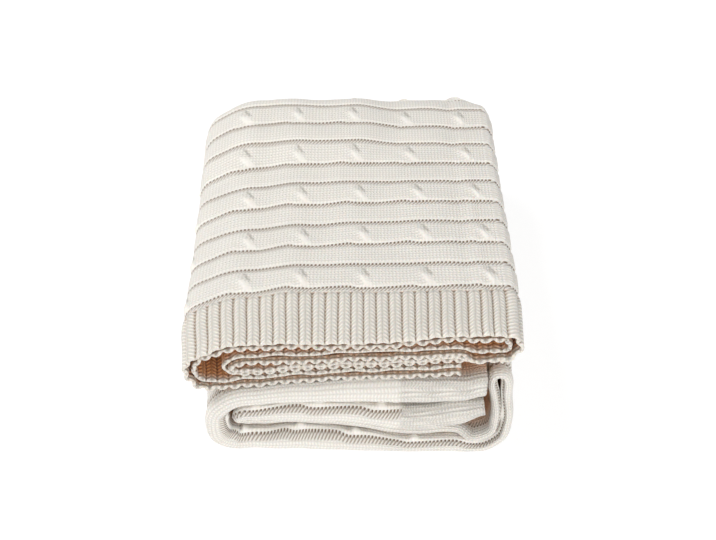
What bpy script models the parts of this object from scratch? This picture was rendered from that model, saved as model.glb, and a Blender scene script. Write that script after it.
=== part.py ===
"""Cable-knit cotton throw, folded into a pack of sixteen cloths.

The throw is folded in half along its cables (the long fold shows at the lower front), doubled
to the left, doubled to the left again, and the whole pack is then folded in half over its back
edge. A strip of two cloths therefore runs through four layers in a lower packet, rounds the
back, and runs through the same four layers, upside down, in an upper packet.

Metres, +Z up. The front faces -Y and the cables run along X. The origin is on the floor under
the middle of the pack's box.
"""

import math
from collections import namedtuple

import bmesh
import bpy
from mathutils import Vector

MM = 0.001

# Cloth
CLOTH_THICK = 3.6 * MM
BAND_THICK = 3.0 * MM
SEAM = -126.0 * MM
SEAM_GAP = 0.5 * MM
RIB_PITCH = 12.0 * MM
RIB_HEIGHT = 1.9 * MM
RIB_HEIGHT_INSIDE = 0.8 * MM
RIB_HEIGHT_TIGHT = 0.2 * MM

# Cable pattern on the outside of the cloth
REPEAT = 66.0 * MM
CABLE_WIDTH = 34.0 * MM
CROSSING_PITCH = 60.0 * MM
CABLE_HEIGHT = 2.0 * MM
PANEL_HEIGHT = 0.8 * MM
LADDER_DEPTH = 0.5 * MM
CROSSING_SWELL = 0.9 * MM
PATTERN_START = 76.0 * MM
CROSSING_START = 4.0 * MM

# Pack
FRONT = -194.0 * MM
FRONT_BLEND = 75.0 * MM
BACK_CENTRE = 177.0 * MM
BACK_REACH_MIN = 1.5 * MM
BACK_REACH_SHARE = 0.82
LEFT_FLARE = 0.07
LEFT_EDGE_FLARE = 0.04
RIGHT_EDGE_FLARE = 0.035
EDGE_SHARE = 0.18
FLARE_WIDTH = 60.0 * MM
DEEP_GAP = 5.2 * MM
CORNER_SPLAY = 130.0 * MM
INNER_EDGE_SETBACK = 3.0 * MM
NOSE_DEPTH_SHARE = 0.8
NOSE_DEPTH_MIN = 5.0 * MM
LEFT_CAP_FULLNESS = 2.6
INNER_CAP_FULLNESS = 2.2
LEFT_TIP = {"low": -145.0, "up": -159.4}
INNER_TIP = {"low": -118.5, "up": -124.0}

# Middle of the pack's box, taken off every place
CENTRE_X = -13.6 * MM
CENTRE_Y = 26.6 * MM

# Height of the surface that parts the packets, in millimetres, by place from left to right
Parting = namedtuple("Parting", "x height")
PARTING = (
    Parting(-155, 77), Parting(-103, 87), Parting(-52, 94), Parting(0, 98),
    Parting(62, 101), Parting(100, 103), Parting(124, 109.5), Parting(155, 111.5),
)

# Layers of the strip, in millimetres: the height of the strip's middle at five places from left
# to right, and how far its outer and inner cloth stand off that middle at the front fold
PLACES = (-100, -50, 0, 50, 100)
Layer = namedtuple("Layer", "heights outer inner front")
LAYERS = {
    "low": {
        "first": Layer((79.8, 86, 90.2, 92.6, 95.3), (5.2,) * 5, (12, 15, 20, 25, 21), -194),
        "second": Layer((9.5, 6.8, 6.8, 6.8, 6.8), (5.2,) * 5, (16, 22, 15, 6, 6), -196),
        "third": Layer((37.5, 38.8, 33.0, 21.5, 22.3), (3.2,) * 5, (3.2,) * 5, -186),
        "fourth": Layer((55.5, 57, 54.5, 44.5, 52.5), (6.5, 9, 9, 12.5, 14), (6.5, 9, 9, 14, 14), -196),
    },
    "up": {
        "first": Layer((94.6, 101.5, 105.2, 107.8, 110.3), (3.2,) * 5, (3.2,) * 5, -188),
        "second": Layer((149.3, 150.8, 151.2, 155.8, 160.5), (4.2,) * 5, (4.2,) * 5, -194),
        "third": Layer((125.5, 128.5, 132.5, 134.8, 136), (2.8, 3.6, 3.6, 3.6, 3.6), (3.6,) * 5, -189),
        "fourth": Layer((107.6, 113.8, 117.8, 120.6, 123.2), (2.6, 3.2, 3.2, 3.2, 3.2), (3.2,) * 5, -187),
    },
}

# How much higher or lower than at the front the upper packet's layers lie, as a share of their
# distance from the parting surface, by depth in millimetres from front to back and at PLACES
Rise = namedtuple("Rise", "y shares")
RISES = (
    Rise(-194, (0, 0, 0, 0, 0)), Rise(-126, (-0.08, 0, 0, -0.07, -0.13)),
    Rise(-30, (-0.13, -0.07, -0.02, -0.06, -0.14)), Rise(60, (-0.05, 0.03, 0.06, -0.02, -0.10)),
    Rise(130, (0.20, 0.24, 0.27, 0.08, -0.03)), Rise(177, (0.26, 0.265, 0.30, 0.105, 0.01)),
)

# Short ends of the throw: where the first and the fourth layer stop, in millimetres, and how far
# the corner of the end is pulled along at the front
Stop = namedtuple("Stop", "x height outer inner front splay")
STOPS = {
    "low": {"first": Stop(124.0, 97.8, 4.6, 21.5, -193, 0), "fourth": Stop(124, 62, 8, 7.5, -194, 0)},
    "up": {"first": Stop(98, 111.3, 3.2, 3.2, -188, 0), "fourth": Stop(116, 119.8, 3.2, 3.2, -186, 23)},
}

# The folded right end of the second and third layers, in millimetres: the line that it lies
# along, half its width there and how far its two sides are slid apart along that line. In the
# lower packet it turns up beside the short ends.
Tongue = namedtuple("Tongue", "x height half skew front")
TONGUE = {
    "low": (
        Tongue(121, 13.2, 7.2, 0, -196), Tongue(138, 22.5, 6.4, 0, -194), Tongue(143, 43, 5.6, 0, -189),
        Tongue(139.8, 72, 5.9, 0, -183), Tongue(137.1, 92.6, 6.7, 0, -182),
    ),
    "up": (
        Tongue(112, 148.0, 12.8, 0, -194), Tongue(119, 148.4, 12.6, 2, -194),
        Tongue(125, 148.6, 12.4, 3.5, -194), Tongue(130, 148.6, 12.2, 5, -194),
        Tongue(134, 148.7, 11.6, 6, -194),
    ),
}
TONGUE_GAP = {"low": 2.7, "up": 4.4}

# How finely the solid is cut
CAP_POINTS = 5
INNER_CAP_POINTS = 3
END_CAP_POINTS = 3
STEPS_PLAIN = 2
STEPS_CABLED = 3
STEPS_ROUND = 1
SHORT_SEGMENT = 28.0 * MM
TURN_STEPS = 10
TURN_LENGTH = 200.0 * MM
PATTERN_ROWS = (0.0, 0.16, 0.36, 0.52, 0.76)
COARSE_EVERY = 7
ROW_MARGIN = 0.02
RELIEF_START = 0.1
RELIEF_EASE = 0.2
LOW_ROWS_OUTER = ((0.4, True), (0.18, False), (0.08, True))
LOW_ROWS_INNER = (0.1, 0.45)
UP_ROWS_INNER = (0.7, 0.3, 0.0)
NOSE_ANGLES = (-90.0, -45.0, 0.0, 45.0, 90.0)
BAND_SAMPLES = 24

COLLECTION = "Knit_Throw"
PANEL = "Cable_Knit_Panel"
BANDS = {1: "Rib_Band_Outer", -1: "Rib_Band_Inner"}

CREAM = (0.83, 0.79, 0.70, 1.0)
CREAM_BAND = (0.82, 0.77, 0.67, 1.0)


def clamp01(value):
    return max(0.0, min(1.0, value))


def smooth(value):
    """Ease from 0 to 1."""
    t = clamp01(value)
    return t * t * (3.0 - 2.0 * t)


def lerp(a, b, t):
    return a + (b - a) * t


def parting_height(x):
    """Height of the surface between the packets at x, in metres."""
    for left, right in zip(PARTING, PARTING[1:]):
        if x <= right.x * MM or right is PARTING[-1]:
            t = smooth((x / MM - left.x) / (right.x - left.x))
            return lerp(left.height, right.height, t) * MM
    return PARTING[-1].height * MM


# One control point of the strip's section: place, distance from the parting surface, the two
# cloths' distances from the strip's middle, the front of the strip and its pull along X there
Control = namedtuple("Control", "x depth outer inner front splay kind")
SHARED = ("outer", "inner", "front", "splay")


def control(x, height, outer, inner, front, splay, kind):
    """Turn a place in millimetres into a control point in metres."""
    depth = abs(height * MM - parting_height(x * MM))
    return Control(x * MM, depth, outer * MM, inner * MM, front * MM, splay * MM, kind)


def layer_controls(packet, name, places, kind):
    """Control points of one layer, in the order of the given places."""
    layer = LAYERS[packet][name]
    points = []
    for x in places:
        i = PLACES.index(x)
        points.append(control(x, layer.heights[i], layer.outer[i], layer.inner[i], layer.front, 0, kind))
    return points


def stop_control(packet, name):
    """Control point of a short end."""
    stop = STOPS[packet][name]
    return control(stop.x, stop.height, stop.outer, stop.inner, stop.front, stop.splay, "plain")


def cap(start, end, tip, fullness, count, kind):
    """Points of a rounded turn from one control point to another, reaching the tip place."""
    power = 2.0 / fullness
    points = []
    for k in range(1, count + 1):
        angle = math.pi * k / (count + 1)
        across = math.copysign(abs(math.cos(angle)) ** power, math.cos(angle))
        reach = math.sin(angle) ** power
        share = 0.5 - 0.5 * across
        x = lerp(start.x, end.x, share) + (tip - lerp(start.x, end.x, share)) * reach
        values = [lerp(a, b, share) for a, b in zip(start[1:6], end[1:6])]
        points.append(Control(x, *values, kind))
    return points


def tongue_controls(packet):
    """Both sides and the round end of the folded right end."""
    rows = TONGUE[packet]
    gap = TONGUE_GAP[packet]
    near, far = [], []
    for i, row in enumerate(rows):
        before = rows[max(i - 1, 0)]
        after = rows[min(i + 1, len(rows) - 1)]
        along = Vector((after.x - before.x, after.height - before.height)).normalized()
        across = Vector((along.y, -along.x)) * row.half
        sign = 1.0 if packet == "low" else -1.0
        middle = Vector((row.x, row.height))
        slide = Vector((row.skew, 0.0))
        near_point = middle + across * sign + slide
        far_point = middle - across * sign - slide
        near.append(control(*near_point, gap, gap, row.front, 0, "cabled"))
        far.append(control(*far_point, gap, gap, row.front, 0, "round"))
    last = rows[-1]
    before = rows[-2]
    along = Vector((last.x - before.x, last.height - before.height)).normalized()
    across = Vector((along.y, -along.x)) * (1.0 if packet == "low" else -1.0)
    end = []
    for k in range(1, END_CAP_POINTS + 1):
        angle = math.pi * k / (END_CAP_POINTS + 1)
        offset = across * math.cos(angle) + along * math.sin(angle)
        place = Vector((last.x, last.height)) + offset * last.half
        end.append(control(*place, gap, gap, last.front, 0, "round"))
    return near + end + far[::-1]


def section_controls(packet):
    """Control points of the strip's whole section in one packet, from short end to short end."""
    low = packet == "low"
    first = [stop_control(packet, "first")] + layer_controls(packet, "first", PLACES[3::-1], "plain")
    second = layer_controls(packet, "second", PLACES, "cabled")
    third = layer_controls(packet, "third", PLACES[::-1], "plain")
    fourth = layer_controls(packet, "fourth", PLACES, "plain") + [stop_control(packet, "fourth")]
    left = cap(first[-1], second[0], LEFT_TIP[packet] * MM, LEFT_CAP_FULLNESS, CAP_POINTS, "cabled")
    inner = cap(third[-1], fourth[0], INNER_TIP[packet] * MM, INNER_CAP_FULLNESS, INNER_CAP_POINTS, "round")
    return first + left + second + tongue_controls(packet) + third + inner + fourth


def tangents(points):
    """Smooth tangents of a run of 2D points, by chord length."""
    result = []
    for i, point in enumerate(points):
        if i == 0:
            result.append((points[1] - point).normalized())
            continue
        if i == len(points) - 1:
            result.append((point - points[i - 1]).normalized())
            continue
        back = point - points[i - 1]
        ahead = points[i + 1] - point
        result.append((back / back.length_squared + ahead / ahead.length_squared).normalized())
    return result


# A place on the section: where it is, its outward normal, and the shared values of its controls
Spot = namedtuple("Spot", "place normal outer inner front splay")


class Section:
    """The strip's section in one packet, as a smooth curve."""

    def __init__(self, packet):
        self.controls = section_controls(packet)
        self.points = [Vector((c.x, c.depth)) for c in self.controls]
        self.slopes = tangents(self.points)

    def at(self, index, t):
        """Place, outward normal and cloth distances at a share t of a control segment."""
        a, b = self.points[index], self.points[index + 1]
        chord = (b - a).length
        m0, m1 = self.slopes[index] * chord, self.slopes[index + 1] * chord
        t2, t3 = t * t, t * t * t
        place = a * (2 * t3 - 3 * t2 + 1) + b * (3 * t2 - 2 * t3)
        place += m0 * (t3 - 2 * t2 + t) + m1 * (t3 - t2)
        along = (a - b) * (6 * t2 - 6 * t) + m0 * (3 * t2 - 4 * t + 1) + m1 * (3 * t2 - 2 * t)
        along.normalize()
        ca, cb = self.controls[index], self.controls[index + 1]
        shared = [lerp(getattr(ca, name), getattr(cb, name), smooth(t)) for name in SHARED]
        return Spot(place, Vector((-along.y, along.x)), *shared)


Column = namedtuple("Column", "low up kind along")


def build_sections():
    return {packet: Section(packet) for packet in ("low", "up")}


def column_at(sections, index, t, kind, along):
    """One station of the strip, seen in both packets."""
    return Column(sections["low"].at(index, t), sections["up"].at(index, t), kind, along)


def gap_at(spot, side, y, puffed):
    """How far one cloth stands off the strip's middle at depth y, less behind a puffed front."""
    gap = spot.outer if side > 0 else spot.inner
    if not puffed:
        return gap
    return lerp(gap, min(gap, DEEP_GAP), smooth((y - spot.front) / FRONT_BLEND))


def pulled(spot, y):
    """Place on the section, with the corner of a short end pulled along at the front."""
    share = 1.0 - smooth((y - spot.front) / CORNER_SPLAY)
    return spot.place + Vector((spot.splay * share, 0.0))


def read_table(value, places, results):
    """Value of a table of places and results, eased from one place to the next."""
    value = max(places[0], min(places[-1], value))
    for x0, x1, r0, r1 in zip(places, places[1:], results, results[1:]):
        if value <= x1:
            return lerp(r0, r1, smooth((value - x0) / (x1 - x0)))
    return results[-1]


def rise_at(x, y):
    """Share by which the upper packet's layers lie higher or lower than at the front."""
    across = [read_table(x / MM, PLACES, rise.shares) for rise in RISES]
    return read_table(y / MM, [rise.y for rise in RISES], across)


def flare_at(x, y, lift):
    """How much wider the pack is than at its front: towards the back, and behind the bands."""
    along = clamp01((y - FRONT) / (BACK_CENTRE - FRONT))
    edge = smooth(along / EDGE_SHARE)
    left = smooth(-x / FLARE_WIDTH) * (LEFT_EDGE_FLARE * edge + LEFT_FLARE * along)
    right = smooth(x / FLARE_WIDTH) * RIGHT_EDGE_FLARE * edge
    return 1.0 + (left + right) * (0.5 + 0.5 * lift)


def finish_place(x, depth, y, lift):
    """World place from the section's own coordinates: lift runs from -1 (low) to 1 (up)."""
    height = parting_height(x) + max(depth, 0.0) * lift * (1.0 + rise_at(x, y) * max(lift, 0.0))
    height = max(height, CLOTH_THICK * 0.5)
    return Vector((x * flare_at(x, y, lift) - CENTRE_X, y - CENTRE_Y, height))


def nose_depth(column):
    """How far the front fold of the lower packet reaches."""
    return max(NOSE_DEPTH_MIN, (column.low.outer + column.low.inner) * 0.5 * NOSE_DEPTH_SHARE)


def back_reach(depth):
    """How far the back fold reaches behind its centre, at a distance from the parting."""
    return BACK_REACH_MIN + BACK_REACH_SHARE * depth


def edge_front(column, side):
    """Where a cloth's edge lies in the upper packet."""
    return column.up.front + (0.0 if side > 0 else INNER_EDGE_SETBACK)


def cable_relief(along, across):
    """Height of the knit's outside above its middle: cables, plain panels and ladder lines."""
    turn = (across - PATTERN_START) % REPEAT
    if turn < CABLE_WIDTH:
        share = turn / CABLE_WIDTH
        phase = 2.0 * math.pi * (along - CROSSING_START) / CROSSING_PITCH
        swell = CROSSING_SWELL * math.cos(phase + (share - 0.5) * math.pi)
        return (CABLE_HEIGHT + swell) * math.sin(math.pi * share) - LADDER_DEPTH
    share = (turn - CABLE_WIDTH) / (REPEAT - CABLE_WIDTH)
    return (PANEL_HEIGHT + LADDER_DEPTH) * math.sin(math.pi * share) - LADDER_DEPTH


Row = namedtuple("Row", "part value side across coarse")


def panel_rows():
    """Rows of the panel from the outer band, round the front fold, to the inner band."""
    top_start = SEAM - FRONT
    top_length = BACK_CENTRE - SEAM
    places = [0.0]
    for i in range(math.ceil(top_length / REPEAT) + 1):
        for share in PATTERN_ROWS:
            place = (PATTERN_START - top_start + (i + share) * REPEAT) / top_length
            if ROW_MARGIN < place < 1.0 - ROW_MARGIN:
                places.append(place)
    rows = []
    for i, place in enumerate(places):
        rows.append(Row("up", place, 1, top_start + top_length * place, i % COARSE_EVERY == 0))
    for i in range(TURN_STEPS + 1):
        share = 1.0 - i / TURN_STEPS
        rows.append(Row("turn", share, 1, top_start + top_length + TURN_LENGTH * (1.0 - share), True))
    rows += [Row("low", share, 1, 0.0, coarse) for share, coarse in LOW_ROWS_OUTER]
    rows += [Row("nose", math.radians(angle), 0, 0.0, True) for angle in NOSE_ANGLES]
    rows += [Row("low", share, -1, 0.0, True) for share in LOW_ROWS_INNER]
    rows += [Row("turn", i / TURN_STEPS, -1, 0.0, True) for i in range(TURN_STEPS + 1)]
    rows += [Row("up", share, -1, 0.0, True) for share in UP_ROWS_INNER]
    return rows


def sheet_point(column, row):
    """World place of the panel's middle surface."""
    low, up = column.low, column.up
    relief = 0.0
    if column.kind == "cabled" and row.side > 0:
        relief = cable_relief(column.along, row.across)
    if row.part == "nose":
        shift = (low.outer - low.inner) * 0.5
        radius = (low.outer + low.inner) * 0.5
        spot = low.place + low.normal * (shift - radius * math.sin(row.value))
        y = low.front + nose_depth(column) * (1.0 - math.cos(row.value))
        return finish_place(spot.x, spot.y, y, -1.0)
    if row.part == "low":
        y = lerp(low.front + nose_depth(column), BACK_CENTRE, row.value)
        spot = low.place + low.normal * (gap_at(low, row.side, y, True) * row.side)
        return finish_place(spot.x, spot.y, y, -1.0)
    if row.part == "up":
        y = lerp(SEAM + SEAM_GAP * 0.5, BACK_CENTRE, row.value)
        spot = pulled(up, y) + up.normal * ((gap_at(up, row.side, y, False) + relief) * row.side)
        return finish_place(spot.x, spot.y, y, 1.0)
    ease = smooth(row.value)
    gap = lerp(gap_at(low, row.side, BACK_CENTRE, True), gap_at(up, row.side, BACK_CENTRE, False), ease)
    relief *= smooth((row.value - RELIEF_START) / RELIEF_EASE)
    normal = low.normal.lerp(up.normal, ease).normalized()
    spot = low.place.lerp(up.place, ease) + normal * ((gap + relief) * row.side)
    angle = math.pi * row.value
    y = BACK_CENTRE + back_reach(max(spot.y, 0.0)) * math.sin(angle)
    return finish_place(spot.x, spot.y, y, -math.cos(angle))


def panel_columns(sections):
    """Stations of the panel along the strip, with the distance from the middle of the top."""
    controls = sections["low"].controls
    points = sections["up"].points
    steps = {"plain": STEPS_PLAIN, "cabled": STEPS_CABLED, "round": STEPS_ROUND}
    lengths = [(b - a).length for a, b in zip(points, points[1:])]
    middle = next(i for i, c in enumerate(controls) if c.kind == "cabled" and c.x == 0.0)
    columns = []
    for i, length in enumerate(lengths):
        kind = controls[i].kind
        count = steps[kind] if length > SHORT_SEGMENT else 1
        start = sum(lengths[:i]) - sum(lengths[:middle])
        for k in range(count):
            columns.append(column_at(sections, i, k / count, kind, start + length * k / count))
    end = sum(lengths) - sum(lengths[:middle])
    columns.append(column_at(sections, len(lengths) - 1, 1.0, "plain", end))
    return columns


def new_object(name, mesh, colour):
    """Named object with its own material, in the throw's collection."""
    material = bpy.data.materials.new(name + "_Yarn")
    material.use_nodes = True
    shader = material.node_tree.nodes["Principled BSDF"]
    shader.inputs["Base Color"].default_value = colour
    shader.inputs["Roughness"].default_value = 0.9
    shader.inputs["Metallic"].default_value = 0.0
    mesh.materials.append(material)
    obj = bpy.data.objects.new(name, mesh)
    bpy.data.collections[COLLECTION].objects.link(obj)
    return obj


def thicken(obj, thickness):
    """Give an open cloth surface its thickness, centred on it."""
    modifier = obj.modifiers.new("Thickness", "SOLIDIFY")
    modifier.thickness = thickness
    modifier.offset = 0.0
    modifier.use_rim = True


def build_panel(sections):
    """The cable-knit cloth itself: one sheet through all sixteen layers."""
    columns = panel_columns(sections)
    rows = panel_rows()
    shape = bmesh.new()
    grid = []
    for column in columns:
        line = {}
        for j, row in enumerate(rows):
            if column.kind == "cabled" or row.coarse:
                line[j] = shape.verts.new(sheet_point(column, row))
        grid.append(line)
    for left, right in zip(grid, grid[1:]):
        shared = sorted(set(left) & set(right))
        for a, b in zip(shared, shared[1:]):
            left_run = [left[j] for j in range(a, b + 1) if j in left]
            right_run = [right[j] for j in range(a, b + 1) if j in right]
            shape.faces.new(left_run[::-1] + right_run)
    mesh = bpy.data.meshes.new(PANEL)
    shape.to_mesh(mesh)
    shape.free()
    mesh.shade_smooth()
    obj = new_object(PANEL, mesh, CREAM)
    thicken(obj, CLOTH_THICK)
    return obj


def band_columns(sections):
    """Stations at every rib crest and groove, evenly spaced along the strip."""
    up = sections["up"]
    samples = []
    length = 0.0
    last = None
    for i in range(len(up.points) - 1):
        for k in range(BAND_SAMPLES):
            place = up.at(i, k / BAND_SAMPLES).place
            if last is not None:
                length += (place - last).length
            last = place
            samples.append((length, i, k / BAND_SAMPLES))
    count = 2 * round(length / RIB_PITCH)
    columns = []
    j = 0
    for n in range(count + 1):
        goal = length * n / count
        while j < len(samples) - 1 and samples[j][0] < goal:
            j += 1
        kind = up.controls[samples[j][1]].kind
        columns.append(column_at(sections, samples[j][1], samples[j][2], kind, goal))
    return columns


def build_band(sections, side):
    """One ribbed band along a long edge, folded with the cloth that it is linked to."""
    shape = bmesh.new()
    lines = []
    columns = band_columns(sections)
    for n, column in enumerate(columns):
        up = column.up
        height = RIB_HEIGHT_INSIDE
        if column.kind == "round":
            height = RIB_HEIGHT_TIGHT
        elif side > 0 and column.kind == "cabled":
            height = RIB_HEIGHT
        rib = height if n % 2 else -height
        line = []
        for y in (edge_front(column, side), SEAM - SEAM_GAP * 0.5):
            spot = pulled(up, y) + up.normal * ((gap_at(up, side, y, False) + rib) * side)
            line.append(shape.verts.new(finish_place(spot.x, spot.y, y, 1.0)))
        lines.append(line)
    for left, right in zip(lines, lines[1:]):
        shape.faces.new((left[0], right[0], right[1], left[1]))
    mesh = bpy.data.meshes.new(BANDS[side])
    shape.to_mesh(mesh)
    shape.free()
    mesh.shade_smooth()
    obj = new_object(BANDS[side], mesh, CREAM_BAND)
    thicken(obj, BAND_THICK)
    return obj


def main():
    for obj in list(bpy.data.objects):
        bpy.data.objects.remove(obj)
    collection = bpy.data.collections.new(COLLECTION)
    bpy.context.scene.collection.children.link(collection)
    sections = build_sections()
    build_panel(sections)
    for side in BANDS:
        build_band(sections, side)


main()
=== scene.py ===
"""Folded cable-knit cotton throw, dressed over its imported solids.

The throw is folded in half along its cables, doubled to the left twice, and the whole pack is
folded in half over its back edge. Its cloth is swept through the same folds as the solids, with
the raised cables, the ladder lines, the ribs and the yarn of the real knit.
"""

from __future__ import annotations

import logging
import math
from collections.abc import Callable, Mapping, Sequence
from dataclasses import dataclass, field
from enum import Enum

import bpy
import numpy as np
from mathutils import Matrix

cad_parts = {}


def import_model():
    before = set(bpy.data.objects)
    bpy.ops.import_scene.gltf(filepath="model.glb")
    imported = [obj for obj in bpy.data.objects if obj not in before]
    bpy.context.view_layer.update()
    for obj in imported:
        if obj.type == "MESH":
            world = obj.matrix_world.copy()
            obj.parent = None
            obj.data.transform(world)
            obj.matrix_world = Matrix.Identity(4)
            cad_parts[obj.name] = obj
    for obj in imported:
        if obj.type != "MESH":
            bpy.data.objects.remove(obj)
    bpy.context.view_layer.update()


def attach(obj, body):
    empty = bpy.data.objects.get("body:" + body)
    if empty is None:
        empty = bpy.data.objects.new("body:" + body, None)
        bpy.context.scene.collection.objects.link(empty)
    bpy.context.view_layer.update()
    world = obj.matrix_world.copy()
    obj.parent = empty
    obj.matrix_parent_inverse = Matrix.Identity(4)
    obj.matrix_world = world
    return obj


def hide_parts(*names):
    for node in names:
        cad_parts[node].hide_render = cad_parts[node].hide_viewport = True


LOG = logging.getLogger("knit_throw")
MM = 0.001
Array = np.ndarray
Numbers = Array | float
Pair = tuple[float, float]
Point = tuple[float, float, float]
Colour = tuple[float, float, float, float]
TINY = 1e-12
AVERAGED = 9
CLOTH_VALUES = ("outer", "inner", "front", "splay")
# Each wave has its share along and across the cloth, and its weight.
WAVES = ((1.0, 0.35, 0.4), (0.43, 1.13, 0.3), (1.71, -0.83, 0.3))
WAVE_SHIFT = 1.7
SOFT_NOISE, SPECK_NOISE, FUZZ_NOISE = 28.0, 420.0, 1500.0
SPECK_SHARE = 0.8
YARN_ROUGHNESS = (0.82, 0.95)


class Packet(Enum):
    """The two halves of the pack."""

    LOW = "low"
    UP = "up"


class Lie(Enum):
    """What a stretch of the section does, which sets how finely it is cut."""

    PLAIN = "plain"
    CABLED = "cabled"
    ROUND = "round"


class Stretch(Enum):
    """The stretches of the cloth from the outer band to the inner band."""

    UP = "up"
    TURN = "turn"
    LOW = "low"
    NOSE = "nose"


def smooth(value: Numbers) -> Array:
    """Ease from 0 to 1."""
    t = np.clip(value, 0.0, 1.0)
    return t * t * (3.0 - 2.0 * t)


def mix(a: Numbers, b: Numbers, t: Numbers) -> Array:
    """Straight blend from a to b."""
    return a + (b - a) * t


def fade(value: Numbers, start: float, length: float) -> Array:
    """Ease from 0 to 1 over a length from a start."""
    return smooth((value - start) / length)


def stepped(x: Array, places: Sequence[float], values: Sequence) -> Array:
    """Read a row of values at x, eased from each set place to the next.

    Args:
        x: Where to read.
        places: The set places, in rising order.
        values: The value at each of them.

    Returns:
        One value for each place of x.
    """
    total = values[0] + 0.0 * x
    for x0, x1, before, after in zip(places, places[1:], values, values[1:]):
        total = np.where(x > x0, mix(before, after, fade(x, x0, x1 - x0)), total)
    return total


def unit(vectors: Array) -> Array:
    """Vectors of length 1."""
    return vectors / np.maximum(np.linalg.norm(vectors, axis=-1, keepdims=True), TINY)


def averaged(values: Array) -> Array:
    """Moving average along a row."""
    padded = np.pad(values, AVERAGED // 2, mode="edge")
    return np.convolve(padded, np.ones(AVERAGED) / AVERAGED, mode="valid")


def turn_angles(count: int) -> list[float]:
    """Angles of some points spread over a half-turn."""
    return [math.pi * k / (count + 1) for k in range(1, count + 1)]


def grid_normals(grid: Array) -> Array:
    """Unit normals of a grid of places, rows by columns, facing the cloth's right side."""
    return unit(np.cross(np.gradient(grid, axis=1), np.gradient(grid, axis=0)))


def unevenness(u: Array, v: Array, scale: float, seed: float) -> Array:
    """Soft, even-handed waviness between -1 and 1.

    Args:
        u: Distance along the strip.
        v: Distance across the cloth.
        scale: Length of the waves.
        seed: Shifts the waves.

    Returns:
        One value for each place.
    """
    total = np.zeros(np.broadcast(u, v).shape)
    for k, (fu, fv, weight) in enumerate(WAVES):
        total = total + weight * np.sin((u * fu + v * fv) * 2.0 * math.pi / scale + seed * (k + WAVE_SHIFT))
    return total


def stand(name: str, data: bpy.types.ID) -> bpy.types.Object:
    """Put an object into the scene.

    Args:
        name: Name of the object.
        data: Its mesh, light or camera.

    Returns:
        The new object.
    """
    thing = bpy.data.objects.new(name, data)
    bpy.context.scene.collection.objects.link(thing)
    return thing


@dataclass(frozen=True)
class Control:
    """One control point of the strip's section, in metres."""

    x: float
    depth: float
    outer: float
    inner: float
    front: float
    splay: float
    lie: Lie


@dataclass(frozen=True)
class Layer:
    """One layer of the strip in one packet, in millimetres, at the five places."""

    heights: tuple[float, ...]
    outer: tuple[float, ...]
    inner: tuple[float, ...]
    front: float


@dataclass(frozen=True)
class Stop:
    """A short end of the throw in one packet, in millimetres."""

    x: float
    height: float
    outer: float
    inner: float
    front: float
    splay: float


@dataclass(frozen=True)
class Tongue:
    """One place along the folded right end, in millimetres."""

    x: float
    height: float
    half: float
    skew: float
    front: float

    def directions(self, after: Tongue) -> Array:
        """Unit directions along and across the folded end, from here to another place."""
        along = unit(np.array([after.x - self.x, after.height - self.height]))
        return np.array([along, (along[1], -along[0])])


# The tables are in millimetres. Five numbers in a row belong to the five PLACES along X.
PARTING = (
    (-155, 77), (-103, 87), (-52, 94), (0, 98), (62, 101), (100, 103), (124, 109.5), (155, 111.5),
)
PLACES = (-100, -50, 0, 50, 100)
LAYERS = {
    Packet.LOW: {
        "first": Layer((79.8, 86, 90.2, 92.6, 95.3), (5.2,) * 5, (12, 15, 20, 25, 21), -194),
        "second": Layer((9.5, 6.8, 6.8, 6.8, 6.8), (5.2,) * 5, (16, 22, 15, 6, 6), -196),
        "third": Layer((37.5, 38.8, 33.0, 21.5, 22.3), (3.2,) * 5, (3.2,) * 5, -186),
        "fourth": Layer((55.5, 57, 54.5, 44.5, 52.5), (6.5, 9, 9, 12.5, 14), (6.5, 9, 9, 14, 14), -196),
    },
    Packet.UP: {
        "first": Layer((94.6, 101.5, 105.2, 107.8, 110.3), (3.2,) * 5, (3.2,) * 5, -188),
        "second": Layer((149.3, 150.8, 151.2, 155.8, 160.5), (4.2,) * 5, (4.2,) * 5, -194),
        "third": Layer((125.5, 128.5, 132.5, 134.8, 136), (2.8, 3.6, 3.6, 3.6, 3.6), (3.6,) * 5, -189),
        "fourth": Layer((107.6, 113.8, 117.8, 120.6, 123.2), (2.6, 3.2, 3.2, 3.2, 3.2), (3.2,) * 5, -187),
    },
}
STOPS = {
    Packet.LOW: {"first": Stop(124.0, 97.8, 4.6, 21.5, -193, 0), "fourth": Stop(124, 62, 8, 7.5, -194, 0)},
    Packet.UP: {"first": Stop(98, 111.3, 3.2, 3.2, -188, 0), "fourth": Stop(116, 119.8, 3.2, 3.2, -186, 23)},
}
TONGUES = {
    Packet.LOW: (
        Tongue(121, 13.2, 7.2, 0, -196), Tongue(138, 22.5, 6.4, 0, -194),
        Tongue(143, 43, 5.6, 0, -189), Tongue(139.8, 72, 5.9, 0, -183), Tongue(137.1, 92.6, 6.7, 0, -182),
    ),
    Packet.UP: (
        Tongue(112, 148.0, 12.8, 0, -194), Tongue(119, 148.4, 12.6, 2, -194),
        Tongue(125, 148.6, 12.4, 3.5, -194), Tongue(130, 148.6, 12.2, 5, -194),
        Tongue(134, 148.7, 11.6, 6, -194),
    ),
}
TONGUE_GAP = {Packet.LOW: 2.7, Packet.UP: 4.4}
LEFT_TIP = {Packet.LOW: -145.0, Packet.UP: -159.4}
# Each row is a depth from the front, and the share by which the upper layers rise there at PLACES.
RISES = (
    (-194, (0, 0, 0, 0, 0)), (-126, (-0.08, 0, 0, -0.07, -0.13)), (-30, (-0.13, -0.07, -0.02, -0.06, -0.14)),
    (60, (-0.05, 0.03, 0.06, -0.02, -0.10)), (130, (0.20, 0.24, 0.27, 0.08, -0.03)),
    (177, (0.26, 0.265, 0.30, 0.105, 0.01)),
)
INNER_TIP = {Packet.LOW: -118.5, Packet.UP: -124.0}


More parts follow.
